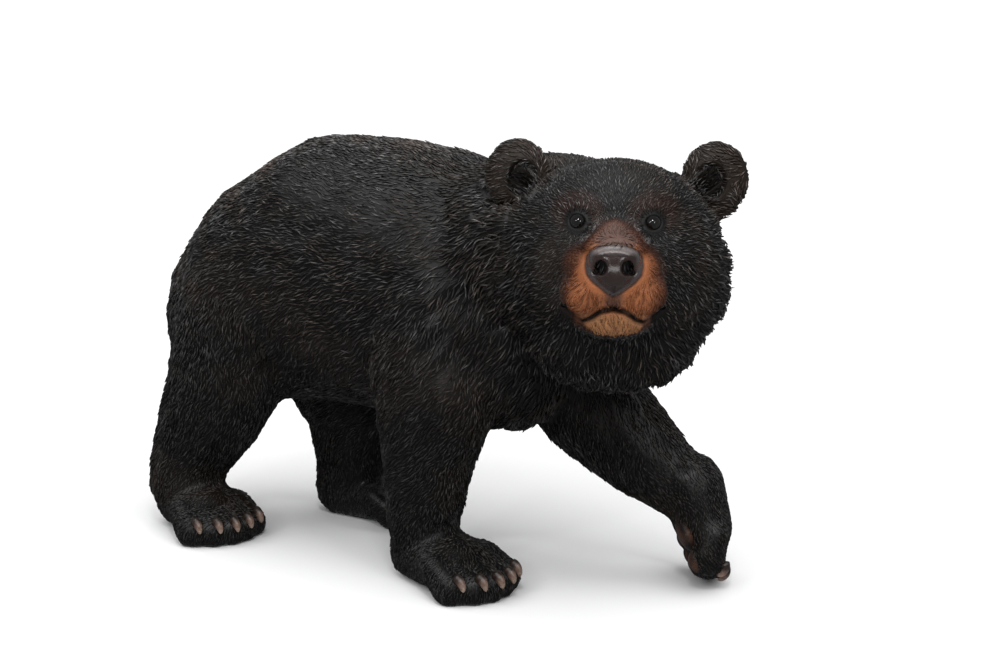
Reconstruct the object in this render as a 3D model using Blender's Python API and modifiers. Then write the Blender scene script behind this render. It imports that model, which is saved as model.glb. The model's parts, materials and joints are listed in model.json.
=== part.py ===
"""Walking bear statue in cast resin, with its head turned to its right and two set-in glass eyes.

The bear is laid out as a sculptor would on a squared drawing: one square is GRID wide, and the
statue is eighty squares long. Every place and radius in the tables below is in those squares.
+X is the way the bear walks, +Y is its left side, +Z is up, and the soles stand on Z = 0.
The origin is under the middle of the statue's own box.
"""

import math
import random

import bmesh
import bpy
import numpy as np
from mathutils import Euler, Matrix, Vector, kdtree
from mathutils.bvhtree import BVHTree

# Driving sizes, in metres
STATUE_LENGTH = 0.80
SQUARES_LONG = 80
GRID = STATUE_LENGTH / SQUARES_LONG
EYE_DIAMETER = 0.019
EYE_STANDS_PROUD = 0.0055
EYE_CLEARANCE = 0.0004
CLAW_LENGTH = 0.021
CLAW_THICKNESS = 0.0095
MOUTH_GROOVE = 0.0062
EAR_CUP_DEPTH = 0.014

# Lock carving: the distance between two locks, and how full the longest one stands
LOCK_SPACING = 0.026
LOCK_FULLNESS = 1.25
LOCK_SEED = 7

# The clay before it is thinned, and the facets that the casting keeps
CLAY_GRAIN = 0.0036
BODY_FACETS = 6900
FINE_KEPT = 0.10

# Trunk: stations from rump to chest, each a centre and the half sizes along, across and up
TRUNK = [
    ((-21.8, 0.0, 28.3), (7.6, 10.2, 11.6)),
    ((-15.5, 0.0, 32.3), (10.0, 12.6, 14.8)),
    ((-5.0, 0.0, 35.8), (12.2, 13.6, 17.2)),
    ((5.5, 0.0, 36.0), (11.8, 13.6, 17.2)),
    ((14.0, 0.0, 36.0), (10.8, 12.6, 16.2)),
    ((22.0, 0.0, 32.0), (9.4, 11.6, 13.4)),
]
NECK = [
    ((18.0, 0.0, 39.6), (9.8, 10.6, 11.6)),
    ((28.0, -1.0, 41.4), (9.8, 11.2, 11.6)),
    ((35.0, -3.5, 41.0), (9.8, 11.2, 11.6)),
]
TAIL = [
    ((-26.5, 0.0, 33.0), (2.4, 2.6, 3.0)),
    ((-28.4, 0.0, 28.6), (1.6, 2.0, 2.4)),
]

RIGHT_FORELEG = [
    ((14.5, -6.8, 33.0), (8.8, 6.8, 11.0)),
    ((16.4, -8.6, 23.6), (7.6, 6.3, 8.0)),
    ((15.8, -9.2, 15.6), (5.3, 5.3, 6.0)),
    ((15.2, -9.2, 7.5), (4.2, 4.5, 5.0)),
]
LEFT_FORELEG = [
    ((24.0, 6.5, 28.0), (7.6, 6.3, 8.8)),
    ((29.8, 7.3, 20.7), (6.4, 5.9, 6.6)),
    ((35.5, 8.0, 16.0), (5.3, 5.2, 5.3)),
    ((40.8, 8.4, 12.1), (3.8, 4.2, 4.0)),
]
RIGHT_HINDLEG = [
    ((-16.0, -5.8, 28.8), (8.2, 7.8, 11.8)),
    ((-18.9, -7.8, 17.5), (6.8, 6.4, 7.8)),
    ((-22.6, -8.7, 10.0), (5.0, 5.0, 5.3)),
    ((-23.3, -9.0, 6.0), (4.8, 4.8, 4.8)),
]
LEFT_HINDLEG = [
    ((-13.0, 5.8, 28.8), (8.8, 7.8, 11.8)),
    ((-7.5, 7.8, 17.0), (7.0, 6.4, 7.8)),
    ((-7.8, 8.6, 10.0), (5.3, 5.2, 5.3)),
    ((-8.0, 8.8, 6.0), (5.0, 5.0, 4.8)),
]

# Each paw: where its wrist stands, the way its toes point in degrees from +X, its pitch and reach
PAWS = {
    "right_fore": ((16.4, -9.2, 3.4), -16.0, 0.0, 10.4),
    "left_fore": ((43.4, 8.8, 10.8), 35.0, 68.0, 8.2),
    "right_hind": ((-22.4, -8.8, 3.4), -22.0, 0.0, 9.8),
    "left_hind": ((-7.8, 8.8, 3.4), 8.0, 0.0, 9.8),
}
PAW_HALF_WIDTH = 5.6
TOE_RADIUS = 1.8
TOES = 5

# Head: its centre, and how it is turned and raised, in degrees; in its own frame +X is the way
# it looks
HEAD_CENTRE = (38.2, -4.4, 41.8)
HEAD_TURN = -62.0
HEAD_RAISE = 7.0
HEAD = [
    [((0.0, 0.0, 0.0), (11.3, 12.4, 11.6))],
    [((-1.5, 0.0, -8.6), (9.3, 9.8, 6.8))],
    [((4.0, 0.0, 5.0), (6.2, 8.6, 6.2))],
    [((4.0, 0.0, 2.6), (6.0, 5.4, 4.6)), ((14.3, 0.0, 1.0), (2.2, 2.9, 2.3))],
    [((5.0, 0.0, -1.5), (6.5, 6.8, 5.6)), ((12.0, 0.0, -1.6), (4.0, 4.9, 4.0))],
    [((5.0, 0.0, -6.0), (5.0, 5.2, 3.2)), ((11.0, 0.0, -5.9), (3.2, 4.0, 2.3))],
    [((15.2, 0.0, 0.7), (1.7, 3.0, 1.8))],
    [((15.6, 0.0, -0.9), (1.5, 1.9, 1.6))],
]
HEAD_PAIRS = [
    [((-2.0, 5.3, -2.4), (8.2, 7.9, 8.4))],
    [((8.3, 4.3, 6.4), (2.0, 2.9, 1.7))],
    [((11.4, 2.9, -3.2), (3.8, 3.0, 2.6))],
]
NOSTRIL = ((17.2, 1.35, -0.35), (1.2, 0.85, 0.75))
MOUTH_LINE = [(-5.4, -4.6), (-4.4, -5.6), (-3.1, -6.2), (-1.5, -5.7), (0.0, -5.0), (1.5, -5.7), (3.1, -6.2), (4.4, -5.6), (5.4, -4.6)]
PHILTRUM_LINE = [(0.0, -2.2), (0.0, -3.6), (0.0, -5.2)]
EYE_PLACE = (4.2, 4.5)
EAR = ((-2.0, 11.4, 9.4), (1.9, 3.8, 4.3))
EAR_CUP = (2.5, 2.9)

# The comb: places on the fur with the way it lies there, and a lock's length and lift there.
# A row marked both is also laid on the other side of the body.
COMB = [
    ((20.0, 0.0, 53.0), (-1.0, 0.0, 0.0), 4.5, 0.25, False),
    ((0.0, 0.0, 54.0), (-1.0, 0.0, -0.1), 4.5, 0.25, False),
    ((-16.0, 0.0, 48.0), (-1.0, 0.0, -0.6), 5.0, 0.35, False),
    ((-28.0, 0.0, 36.0), (-0.2, 0.0, -1.0), 6.0, 0.50, False),
    ((-8.0, 12.0, 42.0), (-1.0, 0.1, -0.5), 5.5, 0.35, True),
    ((10.0, 12.0, 42.0), (-1.0, 0.1, -0.4), 5.5, 0.35, True),
    ((-2.0, 14.0, 30.0), (-0.8, 0.0, -0.6), 6.5, 0.50, True),
    ((-18.0, 13.0, 30.0), (-0.5, 0.0, -0.9), 6.5, 0.50, True),
    ((14.0, 13.0, 30.0), (-0.6, 0.0, -0.8), 6.5, 0.50, True),
    ((-26.0, 9.0, 24.0), (-0.4, 0.0, -1.0), 6.0, 0.55, True),
    ((0.0, 0.0, 18.0), (-1.0, 0.0, 0.0), 6.5, 0.50, False),
    ((30.0, 0.0, 24.0), (-0.4, 0.0, -1.0), 7.0, 0.65, False),
    ((26.0, -11.0, 34.0), (-0.5, 0.0, -0.9), 7.5, 0.70, False),
    ((24.0, 12.0, 36.0), (-0.6, 0.1, -0.8), 7.0, 0.60, False),
    ((17.0, -14.0, 20.0), (-0.5, 0.0, -0.9), 5.5, 0.40, False),
    ((11.0, -9.0, 16.0), (-0.4, 0.0, -0.9), 6.0, 0.55, False),
    ((20.0, -10.0, 10.0), (0.2, 0.0, -1.0), 4.5, 0.25, False),
    ((33.0, 12.0, 20.0), (0.5, 0.0, -0.9), 5.5, 0.40, False),
    ((30.0, 6.0, 16.0), (0.4, 0.0, -0.9), 6.0, 0.50, False),
    ((41.0, 9.0, 14.0), (0.5, 0.2, -0.9), 4.5, 0.25, False),
    ((-20.0, -13.0, 14.0), (-0.3, 0.0, -1.0), 5.0, 0.40, False),
    ((-27.0, -9.0, 10.0), (0.0, 0.0, -1.0), 5.0, 0.45, False),
    ((-8.0, 14.0, 14.0), (-0.2, 0.0, -1.0), 5.0, 0.40, False),
    ((-13.0, 9.0, 10.0), (0.0, 0.0, -1.0), 5.0, 0.45, False),
]
COMB_SPREAD = 7.0
FACE_LOCK = (4.0, 0.12)
RUFF_LOCK = (7.0, 0.75)
SLEEK_ROUND_TOES = 7.5


def turned(pitch, heading, place):
    """A frame at a place in squares, pitched toes down and then turned to its heading."""
    turn = Euler((0.0, math.radians(pitch), math.radians(heading)), "XYZ").to_matrix().to_4x4()
    return Matrix.Translation(Vector(place) * GRID) @ turn


HEAD_FRAME = turned(-HEAD_RAISE, HEAD_TURN, HEAD_CENTRE)
LOOK = HEAD_FRAME.to_3x3() @ Vector((1.0, 0.0, 0.0))


def put_ball(bm, centre, radii, frame, rounds=3):
    """Adds one ellipsoid to a bmesh, its centre and radii in squares."""
    scale = Matrix.Diagonal((*[r * GRID for r in radii], 1.0))
    place = frame @ Matrix.Translation(Vector(centre) * GRID) @ scale
    return bmesh.ops.create_icosphere(bm, subdivisions=rounds, radius=1.0, matrix=place)["verts"]


def put_limb(bm, stations, frame=Matrix.Identity(4)):
    """Adds a limb of clay: the hull round each pair of neighbouring stations."""
    if len(stations) == 1:
        put_ball(bm, *stations[0], frame)
        return
    for near, far in zip(stations, stations[1:]):
        piece = bmesh.new()
        put_ball(piece, *near, frame)
        put_ball(piece, *far, frame)
        hull = bmesh.ops.convex_hull(piece, input=piece.verts)
        inside = [v for v in hull["geom_interior"] if isinstance(v, bmesh.types.BMVert)]
        bmesh.ops.delete(piece, geom=inside, context="VERTS")
        bmesh.ops.recalc_face_normals(piece, faces=piece.faces)
        mesh = bpy.data.meshes.new("limb piece")
        piece.to_mesh(mesh)
        piece.free()
        bm.from_mesh(mesh)
        bpy.data.meshes.remove(mesh)


def mirrored(stations):
    return [((f, -s, u), radii) for (f, s, u), radii in stations]


def toe_tips(reach):
    """The sideways place and the reach of each toe of one paw, in squares."""
    for toe in range(TOES):
        share = toe / (TOES - 1) * 2 - 1
        yield share * (PAW_HALF_WIDTH - TOE_RADIUS * 0.7) * 1.06, reach - 1.9 * share * share


def put_paw(bm, wrist, heading, pitch, reach):
    """A flat-footed paw: heel, palm and a row of rounded toes."""
    frame = turned(pitch, heading, wrist)
    heel = ((-1.4, 0.0, 0.0), (4.2, 4.2, 3.9))
    palm = ((reach * 0.42, 0.0, -0.4), (4.0, PAW_HALF_WIDTH * 0.92, 3.4))
    put_limb(bm, [heel, palm], frame)
    for side, tip in toe_tips(reach):
        knuckle = ((reach * 0.48, side * 0.9, 0.3), (TOE_RADIUS,) * 3)
        pad = ((tip, side, -1.7), (TOE_RADIUS * 1.2, TOE_RADIUS, TOE_RADIUS * 1.2))
        put_limb(bm, [knuckle, pad], frame)


def new_object(name, bm, into):
    mesh = bpy.data.meshes.new(name)
    bm.to_mesh(mesh)
    bm.free()
    made = bpy.data.objects.new(name, mesh)
    into.objects.link(made)
    return made


def put_away(tool):
    """Keeps a working shape out of the finished statue."""
    tool.hide_render = True
    tool.display_type = "WIRE"


def finished_mesh(made):
    """The mesh that an object's modifiers give."""
    bpy.context.view_layer.update()
    graph = bpy.context.evaluated_depsgraph_get()
    return bpy.data.meshes.new_from_object(made.evaluated_get(graph))


def clay_bear():
    """The bare clay: every mass laid down, joined into one skin and smoothed."""
    bm = bmesh.new()
    for limb in (TRUNK, NECK, TAIL, RIGHT_FORELEG, LEFT_FORELEG, RIGHT_HINDLEG, LEFT_HINDLEG):
        put_limb(bm, limb)
    for paw in PAWS.values():
        put_paw(bm, *paw)
    for mass in HEAD:
        put_limb(bm, mass, HEAD_FRAME)
    for mass in [*HEAD_PAIRS, [EAR]]:
        put_limb(bm, mass, HEAD_FRAME)
        put_limb(bm, mirrored(mass), HEAD_FRAME)
    clay = new_object("clay", bm, tools)
    put_away(clay)
    remesh = clay.modifiers.new("one skin", "REMESH")
    remesh.mode = "VOXEL"
    remesh.voxel_size = CLAY_GRAIN
    wet = clay.modifiers.new("wet thumb", "SMOOTH")
    wet.factor = 0.5
    wet.iterations = 7
    blended = bpy.data.objects.new("blended clay", finished_mesh(clay))
    tools.objects.link(blended)
    put_away(blended)
    broad = blended.vertex_groups.new(name="broad forms")
    for vertex, fine in zip(blended.data.vertices, fine_work(blended.data)):
        broad.add([vertex.index], 1.0 - fine, "REPLACE")
    thumb = blended.modifiers.new("blended masses", "SMOOTH")
    thumb.factor = 0.5
    thumb.iterations = 30
    thumb.vertex_group = "broad forms"
    return finished_mesh(blended)


def vertex_places(mesh, attribute="co"):
    flat = np.empty(len(mesh.vertices) * 3)
    mesh.vertices.foreach_get(attribute, flat)
    return flat.reshape(-1, 3)


def toes_middle(wrist, heading, pitch, reach):
    return np.array(turned(pitch, heading, wrist) @ (Vector((reach * 0.5, 0.0, -1.5)) * GRID)) / GRID


def fine_work(mesh):
    """How much of each vertex is finely modelled: the face, the ears and the paws."""
    places = vertex_places(mesh) / GRID
    to_head = np.array(HEAD_FRAME.inverted())
    own = places @ to_head[:3, :3].T + to_head[:3, 3] / GRID
    spots = [((11.0, 0.0, -1.0), 9.5)] + [((EAR[0][0], EAR[0][1] * hand, EAR[0][2]), 5.5) for hand in (1, -1)]
    fine = np.zeros(len(places))
    for spot, size in spots:
        fine = np.maximum(fine, np.clip((size * 1.2 - np.linalg.norm(own - spot, axis=1)) / (size * 0.4), 0.0, 1.0))
    for paw in PAWS.values():
        gap = np.linalg.norm(places - toes_middle(*paw), axis=1)
        fine = np.maximum(fine, np.clip((SLEEK_ROUND_TOES * 1.2 - gap) / 3.0, 0.0, 1.0))
    return fine


def comb_rows():
    """The comb with its mirrored rows, as one array in squares."""
    rows = []
    for place, flow, length, lift, both in COMB:
        for hand in ((1, -1) if both else (1,)):
            rows.append((place[0], place[1] * hand, place[2], flow[0], flow[1] * hand, flow[2], length, lift))
    return np.array(rows)


def fur_at(points):
    """The way the fur lies at each point, and a lock's length and lift there, all in squares."""
    rows = comb_rows()
    gap = points[:, None, :] - rows[None, :, :3]
    near = np.exp(-(gap ** 2).sum(2) / (2 * COMB_SPREAD ** 2)) + 1e-9
    near /= near.sum(1, keepdims=True)
    blend = near @ rows[:, 3:]
    flow, length, lift = blend[:, :3], blend[:, 3], blend[:, 4]
    # The head's fur runs away from the nose, short on the face and long in the ruff
    to_head = np.array(HEAD_FRAME.inverted())
    own = (points * GRID) @ to_head[:3, :3].T / GRID + to_head[:3, 3] / GRID
    away = (own - (17.0, 0.0, 2.0)) @ np.array(HEAD_FRAME)[:3, :3].T
    away /= np.linalg.norm(away, axis=1, keepdims=True)
    headed = 1.0 / (1.0 + np.exp((np.linalg.norm(own, axis=1) - 15.5) * 0.9))
    ruff = 1.0 / (1.0 + np.exp((own[:, 0] - 4.0) * 0.8))
    own_length = FACE_LOCK[0] + (RUFF_LOCK[0] - FACE_LOCK[0]) * ruff
    own_lift = FACE_LOCK[1] + (RUFF_LOCK[1] - FACE_LOCK[1]) * ruff
    own_lift *= np.clip((14.0 - own[:, 2]) / 6.0, 0.0, 1.0) * np.clip((12.0 - own[:, 0]) / 6.0, 0.0, 1.0)
    flow = flow * (1 - headed[:, None]) + away * headed[:, None]
    length = length * (1 - headed) + own_length * headed
    lift = lift * (1 - headed) + own_lift * headed
    for paw in PAWS.values():
        from_toes = np.linalg.norm(points - toes_middle(*paw), axis=1)
        lift = lift * np.clip((from_toes / SLEEK_ROUND_TOES - 0.75) * 2.0, 0.0, 1.0)
    return flow, length, lift


def spread_roots(places, dice):
    """Vertices picked in a shuffled order, none nearer another than the lock spacing."""
    order = list(range(len(places)))
    dice.shuffle(order)
    cells, roots = {}, []
    for index in order:
        place = places[index]
        i, j, k = (int(c) for c in place // LOCK_SPACING)
        around = [(i + a, j + b, k + c) for a in (-1, 0, 1) for b in (-1, 0, 1) for c in (-1, 0, 1)]
        if all(((places[other] - place) ** 2).sum() > LOCK_SPACING ** 2 for cell in around for other in cells.get(cell, ())):
            cells.setdefault((i, j, k), []).append(index)
            roots.append(index)
    return roots


def carve_locks(mesh):
    """Raises overlapping locks on the clay; each swells along the fur and ends in a point."""
    count = len(mesh.vertices)
    places, normals = vertex_places(mesh), vertex_places(mesh, "normal")
    flow, length, lift = fur_at(places / GRID)
    flow = flow - normals * (flow * normals).sum(1, keepdims=True)
    flow /= np.linalg.norm(flow, axis=1, keepdims=True) + 1e-9

    dice = random.Random(LOCK_SEED)
    roots = spread_roots(places, dice)
    tree = kdtree.KDTree(len(roots))
    for slot, index in enumerate(roots):
        tree.insert(places[index], slot)
    tree.balance()
    tempers = np.array([dice.uniform(0.75, 1.25) for _ in roots])
    swerves = np.array([dice.uniform(-0.25, 0.25) for _ in roots])[:, None]
    roots = np.array(roots)
    sides = np.cross(normals[roots], flow[roots])
    ways = flow[roots] * np.cos(swerves) + sides * np.sin(swerves)
    sides = np.cross(normals[roots], ways)
    longs = length[roots] * GRID * tempers
    raised = np.zeros(count)
    for index in np.nonzero(lift > 0.02)[0]:
        best = 0.0
        for _, slot, _ in tree.find_n(places[index], 9):
            gap = places[index] - places[roots[slot]]
            along = gap @ ways[slot] / longs[slot] + 0.35
            if not 0.0 < along < 1.0:
                continue
            half = 0.24 * longs[slot] * min(1.0, 1.6 * (1.0 - along) + 0.08)
            across = abs(gap @ sides[slot]) / half
            if across < 1.0:
                best = max(best, (0.25 + 0.75 * along) * (1.0 - across ** 2) * tempers[slot])
        raised[index] = best * lift[index] * GRID * LOCK_FULLNESS
    mesh.vertices.foreach_set("co", (places + normals * raised[:, None]).reshape(-1))
    mesh.update()


def surface_under(tree, side, up):
    """The face's surface in front of a sideways and an upright place, in squares of the head."""
    start = HEAD_FRAME @ (Vector((30.0, side, up)) * GRID)
    return tree.ray_cast(start, -LOOK)[0]


def put_groove(bm, tree, line, width):
    """A tapering rod laid along a line drawn on the face, a little less than half sunk in it."""
    drawn = [(s0 + (s1 - s0) * k / 3, u0 + (u1 - u0) * k / 3) for (s0, u0), (s1, u1) in zip(line, line[1:]) for k in range(3)]
    drawn.append(line[-1])
    path = [surface_under(tree, side, up) for side, up in drawn]
    rings = []
    for step, place in enumerate(path):
        way = (path[min(step + 1, len(path) - 1)] - path[max(step - 1, 0)]).normalized()
        out = LOOK.cross(way).normalized()
        lift = way.cross(out)
        from_end = min(step, len(path) - 1 - step) / (len(path) - 1) * 2
        radius = width / 2 * (0.7 + 0.3 * min(1.0, from_end * 1.6))
        place = place + LOOK * radius * 0.3
        turns = [i * math.tau / 5 for i in range(5)]
        rings.append([bm.verts.new(place + (out * math.cos(a) + lift * math.sin(a)) * radius) for a in turns])
    skin_rings(bm, rings)


def skin_rings(bm, rings, point=None):
    """Closes a row of rings into a rod, its last end flat or drawn to a point."""
    size = len(rings[0])
    faces = []
    for near, far in zip(rings, rings[1:]):
        for i in range(size):
            faces.append(bm.faces.new((near[i], near[(i + 1) % size], far[(i + 1) % size], far[i])))
    faces.append(bm.faces.new(rings[0][::-1]))
    if point is None:
        faces.append(bm.faces.new(rings[-1]))
    else:
        for i in range(size):
            faces.append(bm.faces.new((rings[-1][i], rings[-1][(i + 1) % size], point)))
    bmesh.ops.recalc_face_normals(bm, faces=faces)


def eye_middle(tree, hand):
    """The middle of one eyeball, sunk in the face by all but what stands proud."""
    rim = surface_under(tree, EYE_PLACE[0] * hand, EYE_PLACE[1])
    look = (HEAD_FRAME.to_3x3() @ Vector((1.0, 0.25 * hand, 0.05))).normalized()
    aim = look.to_track_quat("Z", "Y").to_matrix().to_4x4()
    return Matrix.Translation(rim - look * (EYE_DIAMETER / 2 - EYE_STANDS_PROUD)) @ aim


def put_eyeball(bm, radius, middle):
    bmesh.ops.create_uvsphere(bm, u_segments=14, v_segments=8, radius=radius, matrix=middle)


def put_claw(bm, frame, side, tip):
    """One claw: a hooked cone that leaves the top of its toe and bends to the floor."""
    root = Vector((tip + TOE_RADIUS * 1.05, side, -0.2)) * GRID
    steps, sides = 3, 5

    def at(share):
        bend = math.radians(14.0 + 46.0 * share)
        along = CLAW_LENGTH * (share - 0.40)
        return bend, root + Vector((along * math.cos(bend), 0.0, -along * math.sin(bend)))

    rings = []
    for step in range(steps):
        bend, place = at(step / steps)
        radius = CLAW_THICKNESS / 2 * (1.0 - 0.75 * (step / steps) ** 1.5)
        ring = []
        for turn in (i * math.tau / sides for i in range(sides)):
            off = Vector((math.sin(bend) * math.sin(turn), math.cos(turn) * 0.8, math.cos(bend) * math.sin(turn)))
            ring.append(bm.verts.new(frame @ (place + off * radius)))
        rings.append(ring)
    skin_rings(bm, rings, bm.verts.new(frame @ at(1.0)[1]))


def cut(target, tool, operation, name):
    """Adds or takes away a tool's shape."""
    put_away(tool)
    step = target.modifiers.new(name, "BOOLEAN")
    step.operation = operation
    step.solver = "EXACT"
    step.object = tool


def lacquer(name, colour, roughness, coat):
    made = bpy.data.materials.new(name)
    made.use_nodes = True
    shader = made.node_tree.nodes["Principled BSDF"]
    shader.inputs["Base Color"].default_value = (*colour, 1.0)
    shader.inputs["Roughness"].default_value = roughness
    shader.inputs["Coat Weight"].default_value = coat
    return made


for old in list(bpy.data.objects):
    bpy.data.objects.remove(old)
pieces = bpy.data.collections.new("bear statue")
tools = bpy.data.collections.new("clay and tools")
for group in (pieces, tools):
    bpy.context.scene.collection.children.link(group)

# The clay, its locks, and the thinning to facets, with the face kept finer than the body
skin = clay_bear()
face = BVHTree.FromPolygons([v.co for v in skin.vertices], [tuple(p.vertices) for p in skin.polygons])
carve_locks(skin)
bear = bpy.data.objects.new("bear", skin)
pieces.objects.link(bear)
thinned = bear.vertex_groups.new(name="thinned")
for vertex, fine in zip(skin.vertices, fine_work(skin)):
    thinned.add([vertex.index], 1.0 - FINE_KEPT * fine, "REPLACE")
facets = bear.modifiers.new("facets", "DECIMATE")
facets.vertex_group = "thinned"
facets.ratio = BODY_FACETS / (2 * len(skin.polygons))
facets.use_collapse_triangulate = True

# Claws stand out of the toes
bm = bmesh.new()
for wrist, heading, pitch, reach in PAWS.values():
    for side, tip in toe_tips(reach):
        put_claw(bm, turned(pitch, heading, wrist), side, tip)
cut(bear, new_object("claw set", bm, tools), "UNION", "claws")

# The mouth, the philtrum, the nostrils and the cups of the ears are cut in
bm = bmesh.new()
put_groove(bm, face, MOUTH_LINE, MOUTH_GROOVE)
cut(bear, new_object("mouth gouge", bm, tools), "DIFFERENCE", "mouth")
bm = bmesh.new()
put_groove(bm, face, PHILTRUM_LINE, MOUTH_GROOVE * 0.7)
for hand in (1, -1):
    (forward, aside, up), radii = NOSTRIL
    put_ball(bm, (forward, aside * hand, up), radii, HEAD_FRAME, 2)
    (forward, aside, up), radii = EAR
    cup = (EAR_CUP_DEPTH / GRID, *EAR_CUP)
    put_ball(bm, (forward + radii[0] * 1.05, aside * hand, up), cup, HEAD_FRAME, 2)
cut(bear, new_object("face gouges", bm, tools), "DIFFERENCE", "nostrils and ears")

# Glass eyes, each in a socket that clears it all round
middles = {"right_eye": eye_middle(face, -1), "left_eye": eye_middle(face, 1)}
bm = bmesh.new()
for middle in middles.values():
    put_eyeball(bm, EYE_DIAMETER / 2 + EYE_CLEARANCE, middle)
cut(bear, new_object("socket cutter", bm, tools), "DIFFERENCE", "sockets")

# The soles are ground flat on the floor
bm = bmesh.new()
depth = 10 * GRID
bmesh.ops.create_cube(bm, size=1.0, matrix=Matrix.Translation((0, 0, -depth / 2)) @ Matrix.Diagonal((2 * STATUE_LENGTH, STATUE_LENGTH, depth, 1.0)))
cut(bear, new_object("floor", bm, tools), "DIFFERENCE", "flat soles")

# The finished casting, moved so that its box stands over the origin
casting = finished_mesh(bear)
bear.modifiers.clear()
corners = np.array([v.co for v in casting.vertices])
low, high = corners.min(0), corners.max(0)
home = Matrix.Translation((-(low[0] + high[0]) / 2, -(low[1] + high[1]) / 2, 0.0))
casting.transform(home)
bear.data = casting
casting.name = "bear"
for name, middle in middles.items():
    bm = bmesh.new()
    put_eyeball(bm, EYE_DIAMETER / 2, home @ middle)
    eye = new_object(name, bm, pieces)
    eye.data.materials.append(lacquer("black glass", (0.012, 0.009, 0.008), 0.05, 1.0))
bear.data.materials.clear()
bear.data.materials.append(lacquer("black fur resin", (0.030, 0.027, 0.026), 0.55, 0.15))
triangles = sum(len(p.vertices) - 2 for p in casting.polygons)
print("triangles", triangles, "box", (high - low).round(4), "low", low.round(4))
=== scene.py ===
# %% [markdown]
# # Walking bear statue
# The statue is one hollow casting in resin, painted nearly black, with a tan muzzle, pinkish claws
# and two glass eyes. Its shape is already in the solid model, so this lesson adds what a painter and
# a fine gouge add: the modelled face, the strokes of the fur, the claws, the pads and the paint.
# We start by loading the solid model, which is the frame that every piece has to fit.

# %% The frame
import json
import math

import bmesh
import bpy
import numpy as np
from mathutils import Euler, Matrix, Vector, kdtree
from mathutils.bvhtree import BVHTree

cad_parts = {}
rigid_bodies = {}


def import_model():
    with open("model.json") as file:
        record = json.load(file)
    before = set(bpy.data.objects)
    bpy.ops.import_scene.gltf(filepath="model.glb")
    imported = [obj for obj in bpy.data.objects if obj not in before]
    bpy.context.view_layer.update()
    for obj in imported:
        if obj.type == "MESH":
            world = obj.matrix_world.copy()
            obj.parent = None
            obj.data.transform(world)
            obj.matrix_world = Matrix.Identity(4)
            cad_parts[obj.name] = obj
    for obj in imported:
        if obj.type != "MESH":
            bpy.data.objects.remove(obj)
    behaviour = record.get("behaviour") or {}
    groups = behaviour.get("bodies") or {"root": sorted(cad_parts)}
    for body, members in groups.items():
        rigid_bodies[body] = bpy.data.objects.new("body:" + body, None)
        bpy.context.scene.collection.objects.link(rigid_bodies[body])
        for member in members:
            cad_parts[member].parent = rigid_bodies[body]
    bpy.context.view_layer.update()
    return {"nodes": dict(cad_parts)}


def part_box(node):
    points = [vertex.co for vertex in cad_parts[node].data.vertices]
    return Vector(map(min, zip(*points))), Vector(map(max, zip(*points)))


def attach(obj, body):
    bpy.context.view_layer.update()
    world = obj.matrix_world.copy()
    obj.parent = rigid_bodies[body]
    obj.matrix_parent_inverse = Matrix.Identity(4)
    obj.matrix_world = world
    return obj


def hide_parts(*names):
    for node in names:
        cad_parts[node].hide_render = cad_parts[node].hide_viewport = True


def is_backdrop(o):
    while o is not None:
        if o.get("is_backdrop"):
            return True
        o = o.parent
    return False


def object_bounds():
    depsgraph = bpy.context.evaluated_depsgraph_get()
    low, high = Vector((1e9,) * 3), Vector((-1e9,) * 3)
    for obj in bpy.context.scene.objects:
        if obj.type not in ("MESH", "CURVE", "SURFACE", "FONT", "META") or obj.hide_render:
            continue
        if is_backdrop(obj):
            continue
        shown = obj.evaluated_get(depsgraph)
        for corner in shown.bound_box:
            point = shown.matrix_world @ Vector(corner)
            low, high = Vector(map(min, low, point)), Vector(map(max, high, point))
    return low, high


for old in list(bpy.data.objects):
    bpy.data.objects.remove(old)
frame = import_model()

# %% [markdown]
# A sculptor works from a squared drawing. One square here is ten millimetres, and the drawing's
# zero is moved so that the finished statue stands over the origin. The head has a frame of its own,
# because it is turned towards the viewer: in it +X is the way the bear looks, +Y its left, +Z up.

# %% Squares and frames
SQUARE = 0.01
HOME = Vector((-0.1006, 0.0199, 0.0))


def turned(pitch, heading, place):
    """A frame at a place in squares, pitched toes down and then turned to its heading."""
    turn = Euler((0.0, math.radians(pitch), math.radians(heading)), "XYZ").to_matrix().to_4x4()
    return Matrix.Translation(Vector(place) * SQUARE + HOME) @ turn


HEAD = turned(-7.0, -62.0, (38.2, -4.4, 41.8))
HEAD_TURN = np.array(HEAD.to_3x3())
HEAD_PLACE = np.array(HEAD.translation)


def in_head(places):
    """Places in metres, given in squares of the head's own frame."""
    return (places - HEAD_PLACE) @ HEAD_TURN / SQUARE


def smooth(low, high, value):
    """Rises softly from 0 at low to 1 at high."""
    share = np.clip((value - low) / (high - low), 0.0, 1.0)
    return share * share * (3.0 - 2.0 * share)


def ripple(places, size, seed):
    """A soft random pattern from -1 to 1 whose patches are about size metres across."""
    dice = np.random.default_rng(seed)
    total = np.zeros(len(places))
    for _ in range(7):
        total += np.sin(places @ (dice.normal(size=3) * 2.4 / size) + dice.uniform(0.0, math.tau))
    return total / 3.5


# %% [markdown]
# The camera comes early, so that every later step can be looked at. It stands about 35 degrees
# round from the bear's right side and 12 degrees above the floor, with a long lens, as a product
# photographer would use to keep the head from looking too big.

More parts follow.
